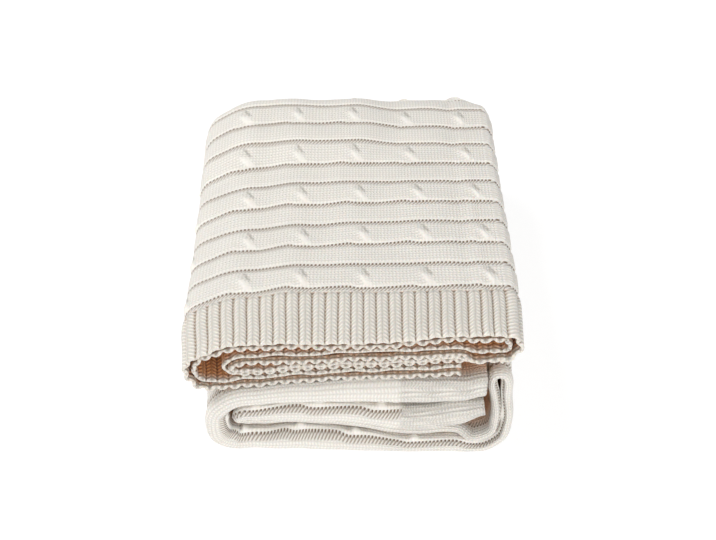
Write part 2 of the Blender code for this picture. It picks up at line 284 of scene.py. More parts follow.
@dataclass(frozen=True)
class PackSizes:
    """The pack's own sizes, the same as the solids'."""

    front: float = -194.0 * MM
    front_blend: float = 75.0 * MM
    back_centre: float = 177.0 * MM
    back_reach_min: float = 1.5 * MM
    back_reach_share: float = 0.82
    left_flare: float = 0.07
    left_edge_flare: float = 0.04
    right_edge_flare: float = 0.035
    edge_share: float = 0.18
    flare_width: float = 60.0 * MM
    centre_x: float = -13.6 * MM
    centre_y: float = 26.6 * MM
    deep_gap: float = 5.2 * MM
    corner_splay: float = 130.0 * MM
    nose_depth_share: float = 0.8
    nose_depth_min: float = 5.0 * MM
    inner_edge_setback: float = 3.0 * MM
    seam: float = -126.0 * MM
    seam_gap: float = 0.5 * MM
    cap_fullness: Pair = (2.6, 2.2)
    cap_points: tuple[int, int, int] = (5, 3, 3)
    cloth_half: float = 1.8 * MM
    band_half: float = 1.7 * MM
    turn_length: float = 200.0 * MM


@dataclass(frozen=True)
class KnitPattern:
    """Sizes of the knitted pattern; a pair says where an easing starts and how long it is."""

    repeat: float = 66.0 * MM
    cable_width: float = 34.0 * MM
    crossing_pitch: float = 60.0 * MM
    start: float = 76.0 * MM
    crossing_start: float = 4.0 * MM
    cable_height: float = 2.0 * MM
    cable_swell: float = 0.15
    ladder_width: float = 7.0 * MM
    ladder_fall: Pair = (1.5, 1.4)
    edge_roll: float = 5.0 * MM
    ridge_height: float = 3.0 * MM
    ridge_width: float = 3.6 * MM
    ridge_widths: Pair = (0.75, 1.25)
    ridge_lean: float = 14.0 * MM
    ridge_middle: float = 0.4
    ridge_start: float = 0.12
    ridge_end: Pair = (0.45, 0.45)
    slit_depth: float = 1.3 * MM
    slit_width: float = 3.0 * MM
    slit_offset: float = 7.0 * MM
    slit_reach: float = 0.25
    lower_slit_end: float = 0.5
    lower_slit: float = 0.6
    panel_height: float = 1.3 * MM
    ladder_depth: float = 1.0 * MM
    scallop: float = 3.4 * MM
    scallop_step: float = 0.26
    scallop_middle: float = 0.4
    left_squeeze: float = 8.0 * MM
    left_squeeze_run: Pair = (40.0 * MM, 70.0 * MM)
    drift: float = 12.0 * MM
    drift_run: Pair = (150.0 * MM, 200.0 * MM)
    border: float = 84.0 * MM
    border_run: Pair = (0.96, 0.06)
    border_rib: float = 11.0 * MM
    border_height: float = 0.4 * MM
    rib_pitch: float = 12.0 * MM
    rib_height: float = 1.7 * MM
    rib_height_inside: float = 0.95 * MM
    rib_height_tight: float = 0.2 * MM
    rib_sharpness: float = 1.6
    rib_bias: float = 0.25
    rib_reach: float = 0.9 * MM
    rib_seam_loss: float = 0.35
    rib_seam_run: Pair = (0.86, 0.14)


@dataclass
class Spots:
    """Places on the section, one for each column of the cloth."""

    place: Array
    normal: Array
    outer: Array
    inner: Array
    front: Array
    splay: Array
    along: Array

    def gap(self, side: int) -> Array:
        """How far one cloth stands off the strip's middle."""
        return self.outer if side > 0 else self.inner


@dataclass
class FoldedStrip:
    """The strip of two cloths, its section in both packets and its way round the back."""

    sizes: PackSizes = field(default_factory=PackSizes)
    controls: dict[Packet, list[Control]] = field(default_factory=dict)

    def __post_init__(self) -> None:
        """Work out the control points of both packets."""
        for packet in Packet:
            self.controls[packet] = self._section(packet)

    @staticmethod
    def parting_height(x: Numbers) -> Array:
        """Height of the surface between the packets, at places before the pack is centred."""
        return stepped(np.asarray(x, float) / MM, *zip(*PARTING)) * MM

    @staticmethod
    def rise(x: Array, y: Array) -> Array:
        """Share by which the upper packet's layers lie higher or lower than at the front."""
        depths, rows = zip(*RISES)
        return stepped(np.asarray(y, float) / MM, depths, [stepped(x / MM, PLACES, row) for row in rows])

    def _control(self, x: float, height: float, outer: float, inner: float, front: float,
                 splay: float, lie: Lie) -> Control:
        """Turn a place in millimetres into a control point."""
        depth = abs(height * MM - float(self.parting_height(x * MM)))
        return Control(x * MM, depth, outer * MM, inner * MM, front * MM, splay * MM, lie)

    def _layer(self, packet: Packet, name: str, order: range, lie: Lie = Lie.PLAIN) -> list[Control]:
        """Control points of one layer, in the order of the given places.

        Args:
            packet: Which half of the pack.
            name: Which layer of the table.
            order: Numbers of the places, in the strip's order.
            lie: How the layer is cut.

        Returns:
            The control points.
        """
        layer = LAYERS[packet][name]
        return [
            self._control(PLACES[i], layer.heights[i], layer.outer[i], layer.inner[i], layer.front, 0.0, lie)
            for i in order
        ]

    def _stop(self, packet: Packet, name: str) -> Control:
        """Control point of a short end."""
        stop = STOPS[packet][name]
        return self._control(stop.x, stop.height, stop.outer, stop.inner, stop.front, stop.splay, Lie.PLAIN)

    @staticmethod
    def _cap(start: Control, end: Control, tip: float, fullness: float, count: int,
             lie: Lie) -> list[Control]:
        """Points of a rounded turn between two control points, reaching the tip place.

        Args:
            start: Control point before the turn.
            end: Control point after the turn.
            tip: Place along X that the turn reaches.
            fullness: 2 for an ellipse, more for a fuller turn.
            count: Number of points.
            lie: How the turn is cut.

        Returns:
            The turn's control points.
        """
        power = 2.0 / fullness
        points = []
        for angle in turn_angles(count):
            share = 0.5 - 0.5 * math.copysign(abs(math.cos(angle)) ** power, math.cos(angle))
            x = mix(mix(start.x, end.x, share), tip, math.sin(angle) ** power)
            values = [
                mix(getattr(start, name), getattr(end, name), share) for name in ("depth", *CLOTH_VALUES)
            ]
            points.append(Control(x, *values, lie))
        return points

    def _tongue(self, packet: Packet) -> list[Control]:
        """Both sides and the round end of the folded right end.

        Args:
            packet: Which half of the pack.

        Returns:
            Its control points, from the layer below to the layer above.
        """
        rows, gap = TONGUES[packet], TONGUE_GAP[packet]
        sign = 1.0 if packet is Packet.LOW else -1.0

        def control(offset: Array, lie: Lie) -> Control:
            """Control point beside the row that the loop is at."""
            return self._control(row.x + offset[0], row.height + offset[1], gap, gap, row.front, 0.0, lie)

        near, far = [], []
        for before, row, after in zip(rows[:1] + rows, rows, rows[1:] + rows[-1:]):
            offset = before.directions(after)[1] * row.half * sign + (row.skew, 0.0)
            near.append(control(offset, Lie.CABLED))
            far.append(control(-offset, Lie.ROUND))
        along, across = rows[-2].directions(row)
        end = [
            control((across * sign * math.cos(angle) + along * math.sin(angle)) * row.half, Lie.CABLED)
            for angle in turn_angles(self.sizes.cap_points[2])
        ]
        return near + end + far[::-1]

    def _section(self, packet: Packet) -> list[Control]:
        """Control points of the whole section, from short end to short end.

        Args:
            packet: Which half of the pack.

        Returns:
            The control points in order.
        """
        last = len(PLACES) - 1
        first = [self._stop(packet, "first")] + self._layer(packet, "first", range(last - 1, -1, -1))
        second = self._layer(packet, "second", range(last + 1), Lie.CABLED)
        third = self._layer(packet, "third", range(last, -1, -1))
        fourth = self._layer(packet, "fourth", range(last + 1)) + [self._stop(packet, "fourth")]
        (left_full, inner_full), (left_count, inner_count, _) = self.sizes.cap_fullness, self.sizes.cap_points
        left = self._cap(first[-1], second[0], LEFT_TIP[packet] * MM, left_full, left_count, Lie.CABLED)
        inner = self._cap(third[-1], fourth[0], INNER_TIP[packet] * MM, inner_full, inner_count, Lie.ROUND)
        return first + left + second + self._tongue(packet) + third + inner + fourth

    def _curve(self, packet: Packet) -> tuple[Array, Array]:
        """Points and unit slopes of a packet's section.

        Args:
            packet: Which half of the pack.

        Returns:
            The points and the slope at each.
        """
        points = np.array([(c.x, c.depth) for c in self.controls[packet]])
        step = np.diff(points, axis=0)
        weight = step / np.sum(step * step, axis=1)[:, None]
        return points, unit(np.vstack([step[:1], weight[:-1] + weight[1:], step[-1:]]))

    def sample(self, packet: Packet, index: Array, share: Array) -> Spots:
        """Read the section at many places.

        Args:
            packet: Which half of the pack.
            index: Control segment of each place.
            share: Share of the way along that segment.

        Returns:
            Places, outward normals, cloth distances and lengths along the strip.
        """
        points, slopes = self._curve(packet)
        a, b = points[index], points[index + 1]
        chord = np.linalg.norm(b - a, axis=1)[:, None]
        m0, m1 = slopes[index] * chord, slopes[index + 1] * chord
        t = share[:, None]
        t2, t3 = t * t, t * t * t
        place = a * (2 * t3 - 3 * t2 + 1) + m0 * (t3 - 2 * t2 + t) + b * (3 * t2 - 2 * t3) + m1 * (t3 - t2)
        along = unit((a - b) * (6 * t2 - 6 * t) + m0 * (3 * t2 - 4 * t + 1) + m1 * (3 * t2 - 2 * t))
        normal = np.stack([-along[:, 1], along[:, 0]], axis=1)
        shared = []
        for name in CLOTH_VALUES:
            values = np.array([getattr(c, name) for c in self.controls[packet]])
            shared.append(mix(values[index], values[index + 1], smooth(share)))
        length = np.concatenate([[0.0], np.cumsum(np.linalg.norm(np.diff(place, axis=0), axis=1))])
        return Spots(place, normal, *shared, length)

    def middle_index(self) -> int:
        """Control segment that starts at the middle of the top layer."""
        controls = self.controls[Packet.UP]
        return next(i for i, c in enumerate(controls) if c.lie is Lie.CABLED and c.x == 0.0)

    def low_gap(self, low: Spots, side: int, y: Numbers) -> Array:
        """How far one cloth of the lower packet stands off the strip's middle at depth y."""
        deep = np.minimum(low.gap(side), self.sizes.deep_gap)
        return mix(low.gap(side), deep, fade(y, low.front, self.sizes.front_blend))

    def upper_cloth(self, up: Spots, side: int, y: Array) -> Array:
        """Section places of one upper cloth, with the corner of a short end pulled along at the front.

        Args:
            up: Stations in the upper packet.
            side: 1 for the outer cloth, -1 for the inner one.
            y: Depth from front to back.

        Returns:
            Pairs of X and distance from the parting surface.
        """
        place = up.place + up.normal * (up.gap(side) * side)[:, None]
        place[:, 0] += up.splay * (1.0 - fade(y, up.front, self.sizes.corner_splay))
        return place

    def finish(self, place: Array, y: Array, lift: Numbers) -> Array:
        """World places from the section's own coordinates.

        Args:
            place: Pairs of X and distance from the parting surface.
            y: Depth from front to back.
            lift: From -1 in the low packet to 1 in the upper one.

        Returns:
            One world place for each pair.
        """
        z = self.sizes
        x, depth = place[:, 0], np.maximum(place[:, 1], 0.0)
        along = np.clip((y - z.front) / (z.back_centre - z.front), 0.0, 1.0)
        height = self.parting_height(x) + depth * lift * (1.0 + self.rise(x, y) * np.maximum(lift, 0.0))
        height = np.maximum(height, z.cloth_half)
        edge = smooth(along / z.edge_share)
        left = smooth(-x / z.flare_width) * (z.left_edge_flare * edge + z.left_flare * along)
        right = smooth(x / z.flare_width) * z.right_edge_flare * edge
        flare = 1.0 + (left + right) * (0.5 + 0.5 * lift)
        return np.stack([x * flare - z.centre_x, y - z.centre_y + 0.0 * x, height], axis=1)


@dataclass(frozen=True)
class Row:
    """One row of the cloth, across the strip."""

    stretch: Stretch
    value: float
    side: int
    coarse: bool


@dataclass
class Columns:
    """Stations along the strip, with their places in both packets."""

    strip: FoldedStrip
    spacing: dict[Lie, float]
    index: Array = field(init=False)
    share: Array = field(init=False)
    fine: Array = field(init=False)
    tight: Array = field(init=False)
    low: Spots = field(init=False)
    up: Spots = field(init=False)
    middle: int = field(init=False)

    def __post_init__(self) -> None:
        """Space the stations and read both packets there."""
        up = self.strip.controls[Packet.UP]
        index, share = [], []
        for i in range(len(up) - 1):
            pairs = [controls[i:i + 2] for controls in self.strip.controls.values()]
            length = max(math.hypot(b.x - a.x, b.depth - a.depth) for a, b in pairs)
            count = max(1, math.ceil(length / self.spacing[up[i].lie]))
            index += [i] * count
            share += [k / count for k in range(count)]
        self._read(np.array(index + [len(up) - 2]), np.array(share + [1.0]))

    def _read(self, index: Array, share: Array) -> None:
        """Keep the stations and their places, measured from the middle of the top.

        Args:
            index: Control segment of each station.
            share: Share of the way along that segment.
        """
        self.index, self.share = index, share
        lies = [self.strip.controls[Packet.UP][i].lie for i in index]
        self.fine, self.tight = (np.array([lie is kind for lie in lies]) for kind in (Lie.CABLED, Lie.ROUND))
        self.low, self.up = (self.strip.sample(packet, index, share) for packet in (Packet.LOW, Packet.UP))
        self.middle = int(np.flatnonzero(index == self.strip.middle_index())[0])
        for spots in (self.low, self.up):
            spots.along = spots.along - spots.along[self.middle]


@dataclass
class RibStations(Columns):
    """Stations spaced evenly along the strip, several to a rib."""

    pitch: float = 12.0 * MM
    cuts: int = 10

    def __post_init__(self) -> None:
        """Space the stations evenly by length in the upper packet."""
        super().__post_init__()
        count = int(round((self.up.along[-1] - self.up.along[0]) / self.pitch)) * self.cuts
        goal = np.linspace(self.up.along[0], self.up.along[-1], count + 1)
        station = np.interp(goal, self.up.along, self.index + self.share)
        index = np.minimum(station.astype(int), len(self.strip.controls[Packet.UP]) - 2)
        self._read(index, station - index)


@dataclass
class KnitMesh:
    """Closed mesh of a cloth: a fine right side and a coarser wrong side on the same middle."""

    right: Array
    wrong: Array
    cloth_uv: Array
    pattern_uv: Array
    values: dict[str, Array]
    right_keep: Array
    wrong_keep: Array

    @staticmethod
    def _ids(keep: Array, start: int) -> Array:
        """Vertex numbers of the kept places, or -1.

        Args:
            keep: Which places of the grid are kept.
            start: Number of the first vertex.

        Returns:
            A number for each place of the grid.
        """
        ids = np.full(keep.shape, -1)
        ids[keep] = np.arange(int(keep.sum())) + start
        return ids

    @staticmethod
    def _sheet(ids: Array, flip: bool) -> list[list[int]]:
        """Faces between neighbouring kept columns, with the in-between points of the finer one.

        Args:
            ids: Vertex number of each place, or -1.
            flip: Turns the faces over.

        Returns:
            The faces.
        """
        faces: list[list[int]] = []
        columns = [c for c in range(ids.shape[1]) if (ids[:, c] >= 0).any()]
        for c, d in zip(columns, columns[1:]):
            left, right = ids[:, c], ids[:, d]
            shared = np.flatnonzero((left >= 0) & (right >= 0))
            inner = ((left >= 0) ^ (right >= 0))
            for a, b in zip(shared, shared[1:]):
                if b - a > 1 and inner[a + 1:b].any():
                    down = [i for i in left[a:b + 1] if i >= 0]
                    back = [i for i in right[a:b + 1] if i >= 0]
                    face = [down[0]] + back + down[:0:-1]
                else:
                    face = [left[a], right[a], right[b], left[b]]
                faces.append([int(i) for i in (face[::-1] if flip else face)])
        return faces

    @staticmethod
    def _rim(outer: Array, inner: Array, flip: bool) -> list[list[int]]:
        """Faces that close the cloth along one edge, between its two sides.

        Args:
            outer: Vertex numbers of the edge on the right side.
            inner: The same on the wrong side.
            flip: Turns the faces over.

        Returns:
            The faces.
        """
        faces: list[list[int]] = []
        shared = np.flatnonzero((outer >= 0) & (inner >= 0))
        for a, b in zip(shared, shared[1:]):
            run = [int(i) for i in outer[a:b + 1] if i >= 0]
            face = [run[0], int(inner[a]), int(inner[b])] + run[:0:-1]
            faces.append(face[::-1] if flip else face)
        return faces

    def _kept(self, right: Array, wrong: Array) -> Array:
        """What both sides hold at their kept places."""
        return np.concatenate([right[self.right_keep], wrong[self.wrong_keep]])

    def build(self, name: str) -> bpy.types.Object:
        """Make the mesh object.

        Args:
            name: Name of the piece.

        Returns:
            The new object, linked to the scene.
        """
        right = self._ids(self.right_keep, 0)
        wrong = self._ids(self.wrong_keep, int(self.right_keep.sum()))
        faces = self._sheet(right, False) + self._sheet(wrong, True)
        faces += self._rim(right[0], wrong[0], False) + self._rim(right[-1], wrong[-1], True)
        faces += self._rim(right[:, 0], wrong[:, 0], True) + self._rim(right[:, -1], wrong[:, -1], False)
        mesh = bpy.data.meshes.new(name)
        mesh.from_pydata(self._kept(self.right, self.wrong).tolist(), [], faces)
        mesh.validate()
        vertex = np.zeros(len(mesh.loops), dtype=np.int64)
        mesh.loops.foreach_get("vertex_index", vertex)
        for label, grid in (("Cloth", self.cloth_uv), ("Pattern", self.pattern_uv)):
            mesh.uv_layers.new(name=label).data.foreach_set("uv", self._kept(grid, grid)[vertex].ravel())
        pairs = {label: (grid, grid) for label, grid in self.values.items()}
        pairs["Wrong_Side"] = (np.zeros(right.shape), np.ones(right.shape))
        for label, pair in pairs.items():
            mesh.attributes.new(label, "FLOAT", "POINT").data.foreach_set("value", self._kept(*pair))
        mesh.shade_smooth()
        return stand(name, mesh)


@dataclass
class CablePanel:
    """The cable-knit cloth itself, one piece through all its folds."""

    strip: FoldedStrip
    pattern: KnitPattern = field(default_factory=KnitPattern)
    name: str = "Throw_Cable_Panel"
    node: str = "Cable_Knit_Panel"
    slot: str = "cable_knit"
    spacing: dict[Lie, float] = field(
        default_factory=lambda: {Lie.CABLED: 2.5 * MM, Lie.PLAIN: 6.5 * MM, Lie.ROUND: 3.2 * MM}
    )
    up_rows: int = 128
    turn_rows: int = 84
    low_rows: int = 28
    nose_rows: int = 18
    coarse_up: int = 7
    coarse_turn: int = 6
    coarse_low: int = 2
    inner_rows: int = 12
    wrong_columns: int = 4
    crowding: float = 1.5
    wave_height: float = 0.5 * MM
    wave_length: float = 70.0 * MM
    wave_seed: float = 1.3
    wave_loss: float = 0.8
    round_relief: float = 0.35
    inner_relief: float = 0.4
    turn_relief: float = 0.7
    left_loss: float = 0.5
    left_run: Pair = (115.0 * MM, 30.0 * MM)
    # Painted warm shade of the folds fades in over this run back from the front.
    fold_shade_run: Pair = (4.0 * MM, 30.0 * MM)
    resting_height: float = 1.6

    def rows(self) -> list[Row]:
        """Rows from the outer band, round the back, the lower front fold and back to the inner band.

        Returns:
            The rows in order.
        """
        inner = self.inner_rows
        rows = [Row(Stretch.UP, i / self.up_rows, 1, i % self.coarse_up == 0) for i in range(self.up_rows)]
        rows += [Row(Stretch.TURN, 1.0 - i / self.turn_rows, 1, i % self.coarse_turn == 0)
                 for i in range(self.turn_rows + 1)]
        rows += [Row(Stretch.LOW, (1.0 - i / self.low_rows) ** self.crowding, 1, i % self.coarse_low == 0)
                 for i in range(1, self.low_rows)]
        rows += [Row(Stretch.NOSE, math.radians(180.0 * i / self.nose_rows - 90.0), 0, True)
                 for i in range(self.nose_rows + 1)]
        rows += [Row(Stretch.LOW, (i / inner) ** self.crowding, -1, True) for i in range(1, inner)]
        rows += [Row(Stretch.TURN, i / inner, -1, True) for i in range(inner + 1)]
        rows += [Row(Stretch.UP, 1.0 - i / inner, -1, True) for i in range(1, inner + 1)]
        return rows

    def middle_surface(self, columns: Columns, row: Row) -> Array:
        """World places of the cloth's middle along one row.

        Args:
            columns: The cloth's stations along the strip.
            row: The row.

        Returns:
            One place for each station.
        """
        strip, z, low, up, side = self.strip, self.strip.sizes, columns.low, columns.up, row.side
        radius = (low.outer + low.inner) * 0.5
        nose = np.maximum(z.nose_depth_min, radius * z.nose_depth_share)
        if row.stretch is Stretch.NOSE:
            off = (low.outer - low.inner) * 0.5 - radius * math.sin(row.value)
            y = low.front + nose * (1.0 - math.cos(row.value))
            return strip.finish(low.place + low.normal * off[:, None], y, -1.0)
        if row.stretch is Stretch.LOW:
            y = mix(low.front + nose, z.back_centre, row.value)
            off = strip.low_gap(low, side, y) * side
            return strip.finish(low.place + low.normal * off[:, None], y, -1.0)
        if row.stretch is Stretch.UP:
            y = np.full(len(up.front), float(mix(z.seam + z.seam_gap * 0.5, z.back_centre, row.value)))
            return strip.finish(strip.upper_cloth(up, side, y), y, 1.0)
        ease = smooth(row.value)
        off = mix(strip.low_gap(low, side, z.back_centre), up.gap(side), ease) * side
        place = mix(low.place, up.place, ease) + unit(mix(low.normal, up.normal, ease)) * off[:, None]
        angle = math.pi * row.value
        reach = z.back_reach_min + z.back_reach_share * np.maximum(place[:, 1], 0.0)
        return strip.finish(place, z.back_centre + reach * math.sin(angle), -math.cos(angle))

    def cloth_places(self, columns: Columns, rows: list[Row], grid: Array) -> tuple[Array, ...]:
        """Distances along and across the unfolded cloth, for each place of the grid.

        Args:
            columns: The cloth's stations along the strip.
            rows: The cloth's rows.
            grid: World places of the cloth's middle, rows by stations.

        Returns:
            The distances along and the distances across.
        """
        steps = np.linalg.norm(np.diff(grid[:, columns.middle], axis=0), axis=1)
        start = self.strip.sizes.seam - self.strip.sizes.front
        across = start + np.concatenate([[0.0], np.cumsum(steps)])
        up_share = [
            float(smooth(row.value)) if row.stretch is Stretch.TURN else float(row.stretch is Stretch.UP)
            for row in rows
        ]
        along = mix(columns.low.along, columns.up.along, np.array(up_share)[:, None])
        return np.broadcast_arrays(along, across[:, None])

    def end_share(self, along: Array) -> Array:
        """How far a place is inside the ribbed border of a short end, from 0 to 1."""
        nearest = np.minimum(along - along[:, :1], along[:, -1:] - along)
        return 1.0 - fade(nearest / self.pattern.border, *self.pattern.border_run)

    def scalloped(self, along: Array, across: Array) -> Array:
        """Distance across the cloth with the lower ladder lines scalloped between crossings.

        Args:
            along: Distance along the cloth.
            across: Distance across the cloth.

        Returns:
            The distance across in the pattern.
        """
        p = self.pattern
        phase = ((along - p.crossing_start) / p.crossing_pitch) % 1.0
        rising = phase - fade(phase, 1.0 - p.scallop_step, p.scallop_step) - p.scallop_middle
        turn = (across - p.start) % p.repeat
        below = (p.repeat - turn) / (p.repeat - p.cable_width)
        near = 1.0 - np.where(turn < p.cable_width, turn / p.cable_width, below)
        return across - p.scallop * rising * smooth(near)

    def knitted_along(self, along: Array, across: Array) -> Array:
        """Distance along the cloth in its pattern, which is squeezed at the left and drifts to the back.

        Args:
            along: Distance along the cloth.
            across: Distance across the cloth.

        Returns:
            The distance along in the pattern.
        """
        p = self.pattern
        squeeze = p.left_squeeze * fade(-along, *p.left_squeeze_run)
        return along - squeeze + p.drift * fade(across, *p.drift_run)

    def zone(self, place: Array, length: float, height: float) -> Array:
        """Height across one zone: a rolled edge, a dome, and a slope down to the next ladder line.

        Args:
            place: Distance from the zone's upper edge.
            length: Length of the zone.
            height: Height of its dome.

        Returns:
            The height at each place.
        """
        p = self.pattern
        roll = np.sqrt(1.0 - (1.0 - np.clip(place / p.edge_roll, 0.0, 1.0)) ** 2)
        start, run = p.ladder_fall
        fall = fade(place, length - p.ladder_width * start, p.ladder_width * run)
        return (height + p.ladder_depth) * roll * (1.0 - fall) - p.ladder_depth

    def relief(self, along: Array, across: Array, border: Array) -> Array:
        """Height of the knit's right side: cables with their crossings, plain panels, border ribs.

        Args:
            along: Distance along the cloth in its pattern.
            across: Distance across the cloth.
            border: How far a place is inside the ribbed border, from 0 to 1.

        Returns:
            The height at each place.
        """
        p = self.pattern
        turn = (self.scalloped(along, across) - p.start) % p.repeat
        w = np.clip(turn / (p.cable_width - p.ladder_width), 0.0, 1.0)
        half = p.crossing_pitch * 0.5
        offset = (along - p.crossing_start + half) % p.crossing_pitch - half
        swell = 1.0 - p.cable_swell * (1.0 - np.cos(2.0 * math.pi * offset / p.crossing_pitch))
        leaning = offset + p.ridge_lean * (w - p.ridge_middle)
        ridge = np.exp(-(leaning / (p.ridge_width * mix(*p.ridge_widths, w))) ** 2)
        ridge = p.ridge_height * ridge * smooth(w / p.ridge_start) * (1.0 - fade(w, *p.ridge_end))
        upper, lower = (
            np.exp(-((leaning + off) / p.slit_width) ** 2) for off in (-p.slit_offset, p.slit_offset)
        )
        upper = upper * fade(w, p.ridge_end[0], p.slit_reach)
        lower = p.lower_slit * lower * fade(-w, -p.lower_slit_end, p.slit_reach)
        slits = p.slit_depth * (upper + lower) * np.sqrt(np.sin(math.pi * w))
        cable = self.zone(turn, p.cable_width, p.cable_height) * swell + ridge - slits
        plain = self.zone(turn - p.cable_width, p.repeat - p.cable_width, p.panel_height)
        ribs = p.border_height * np.cos(2.0 * math.pi * across / p.border_rib)
        return mix(np.where(turn < p.cable_width, cable, plain), ribs, border)

    def fold_shade_depth(self, rows: list[Row], columns: Columns, grid: Array) -> Array:
        """How deep a place lies inside the folds, from 0 outside to 1 well inside; it sets the painted warm
        shade there.

        Args:
            rows: The cloth's rows.
            columns: The cloth's stations along the strip.
            grid: World places of the cloth's middle, rows by stations.

        Returns:
            One value for each place.
        """
        deep = fade(grid[:, :, 1] + self.strip.sizes.centre_y - self.strip.sizes.front, *self.fold_shade_run)
        inner = np.array([row.side < 0 for row in rows])[:, None]
        nose = np.array([row.stretch is Stretch.NOSE for row in rows])[:, None]
        return np.where(inner | ~(nose | columns.fine), deep, 0.0)

    def held_down(self, rows: list[Row], columns: Columns) -> Array:
        """Share of the relief that is left at turns, at the left side and inside the pack.

        Args:
            rows: The cloth's rows.
            columns: The cloth's stations along the strip.

        Returns:
            One share for each place of the grid.
        """
        left = 1.0 - self.left_loss * fade(-columns.up.place[:, 0], *self.left_run)
        across = averaged(np.where(columns.tight, self.round_relief, left))
        shares = [
            self.inner_relief if row.side < 0 else self.turn_relief if row.stretch is Stretch.TURN else 1.0
            for row in rows
        ]
        return np.array(shares)[:, None] * across

    def build(self) -> bpy.types.Object:
        """Make the panel's mesh.

        Returns:
            The panel.
        """
        columns, rows, half = Columns(self.strip, self.spacing), self.rows(), self.strip.sizes.cloth_half
        grid = np.stack([self.middle_surface(columns, row) for row in rows])
        along, across = self.cloth_places(columns, rows, grid)
        border = self.end_share(along)
        knitted = self.knitted_along(along, across)
        # The depth inside the folds sets the painted warm shade there and flattens the relief.
        gap = self.fold_shade_depth(rows, columns, grid)
        under = np.array([row.stretch is Stretch.LOW and row.side > 0 for row in rows])[:, None]
        free = ~(under & (grid[:, :, 2] < half * self.resting_height))
        relief = self.relief(knitted, across, border) * self.held_down(rows, columns) * (1.0 - np.sqrt(gap))
        wave = self.wave_height * unevenness(along, across, self.wave_length, self.wave_seed)
        wave = wave * free * (1.0 - self.wave_loss * gap)
        normals = grid_normals(grid)
        right = grid + normals * (half + relief * free + wave)[:, :, None]
        wrong = grid - normals * (half - wave)[:, :, None]
        right[:, :, 2] = np.maximum(right[:, :, 2], 0.0)
        coarse = np.array([row.coarse for row in rows[:-1]] + [True])[:, None]
        some = np.arange(grid.shape[1]) % self.wrong_columns == 0
        return KnitMesh(
            right, wrong, np.stack([along, across], axis=2),
            np.stack([knitted, self.scalloped(knitted, across)], axis=2),
            # The depth is kept on the mesh as the amount of painted warm shade in the folds.
            {"Fold_Shade_Depth": gap, "Border": border}, coarse | columns.fine, coarse & (~columns.fine | some),
        ).build(self.name)


@dataclass
class RibBand:
    """One ribbed band along a long edge, folded with the cloth that it is linked to.

    The places are rows across the band, in millimetres from its edge. The ragged edge and the sway
    are each given as a size and a wave length.
    """

    strip: FoldedStrip
    side: int
    name: str
    node: str
    pattern: KnitPattern = field(default_factory=KnitPattern)
    slot: str = "rib_knit"
    places: tuple[float, ...] = (0.0, 0.3, 0.9, 1.8, 3.2, 6.0, 11.0, 18.0, 27.0, 36.0, 46.0, 56.0, 63.0, 68.0)
    edge_round: float = 1.8 * MM
    edge_floor: float = 0.02
    spacing: dict[Lie, float] = field(
        default_factory=lambda: {Lie.CABLED: 1.5 * MM, Lie.PLAIN: 1.5 * MM, Lie.ROUND: 1.0 * MM}
    )
    ragged: Pair = (1.1 * MM, 48.0 * MM)
    sway: Pair = (0.5 * MM, 60.0 * MM)
    seeds: Pair = (2.1, 0.7)
    # Painted warm shade of the band's folds fades in over this run from its edge.
    fold_shade_run: Pair = (1.5 * MM, 8.0 * MM)

    def build(self) -> bpy.types.Object:
        """Make the band's mesh.

        Returns:
            The band.
        """
        p, z, strip, side = self.pattern, self.strip.sizes, self.strip, self.side
        stations = RibStations(strip, self.spacing, pitch=p.rib_pitch)
        up = stations.up
        phase = (up.along - up.along[0]) / p.rib_pitch
        crest = np.tanh(p.rib_sharpness * (np.cos(2.0 * math.pi * phase) + p.rib_bias))
        height = np.where(stations.tight, p.rib_height_tight, p.rib_height_inside)
        if side > 0:
            height = np.where(stations.fine, p.rib_height, height)
        height = np.minimum(height, averaged(height))
        edge = up.front + (0.0 if side > 0 else z.inner_edge_setback) - p.rib_reach * crest
        (ragged, ragged_length), (sway, sway_length) = self.ragged, self.sway
        edge = edge + ragged * unevenness(up.along, 0.0 * up.along, ragged_length, self.seeds[0] + side)
        rows = []
        for place in self.places:
            share = place / self.places[-1]
            y = mix(edge, z.seam - z.seam_gap * 0.5, share)
            lift = height * crest * (1.0 - p.rib_seam_loss * fade(share, *p.rib_seam_run))
            lift = (lift + sway * unevenness(up.along, y, sway_length, self.seeds[1] * side)) * side
            rows.append(strip.finish(strip.upper_cloth(up, side, y) + up.normal * lift[:, None], y, 1.0))
        grid = np.stack(rows)
        distance = np.array(self.places)[:, None] * MM
        thin = (1.0 - np.minimum(distance / self.edge_round, 1.0)) ** 2
        half = z.band_half * np.sqrt(np.maximum(1.0 - thin, self.edge_floor))
        off = grid_normals(grid) * half[:, :, None]
        along, across, phase, crest = np.broadcast_arrays(up.along, distance, phase, crest)
        # Painted warm shade deep in the folds, kept off the outer band's top.
        deep = np.where(stations.fine & (side > 0), 0.0, 1.0) * fade(distance, *self.fold_shade_run)
        keep = np.ones(along.shape, dtype=bool)
        return KnitMesh(
            grid + off, grid - off, np.stack([along, across], axis=2), np.stack([phase, across], axis=2),
            {"Fold_Shade_Depth": deep, "Crest": crest}, keep, keep,
        ).build(self.name)


def sign(kind: str, swapped: bool = False) -> Callable[[Value, Value | float], Value]:
    """Make the method behind an arithmetic sign, which adds a Math node."""
    return lambda a, b: a.sheet.math(kind, b, a) if swapped else a.sheet.math(kind, a, b)


@dataclass(frozen=True)
class Value:
    """A node's output that formulas can be written with."""

    sheet: NodeSheet
    socket: bpy.types.NodeSocket

    __add__ = sign("ADD")
    __sub__ = sign("SUBTRACT")
    __rsub__ = sign("SUBTRACT", swapped=True)
    __mul__ = sign("MULTIPLY")
    __truediv__ = sign("DIVIDE")
    __mod__ = sign("FLOORED_MODULO")

    def __abs__(self) -> Value:
        """Size without its sign."""
        return self.sheet.math("ABSOLUTE", self)


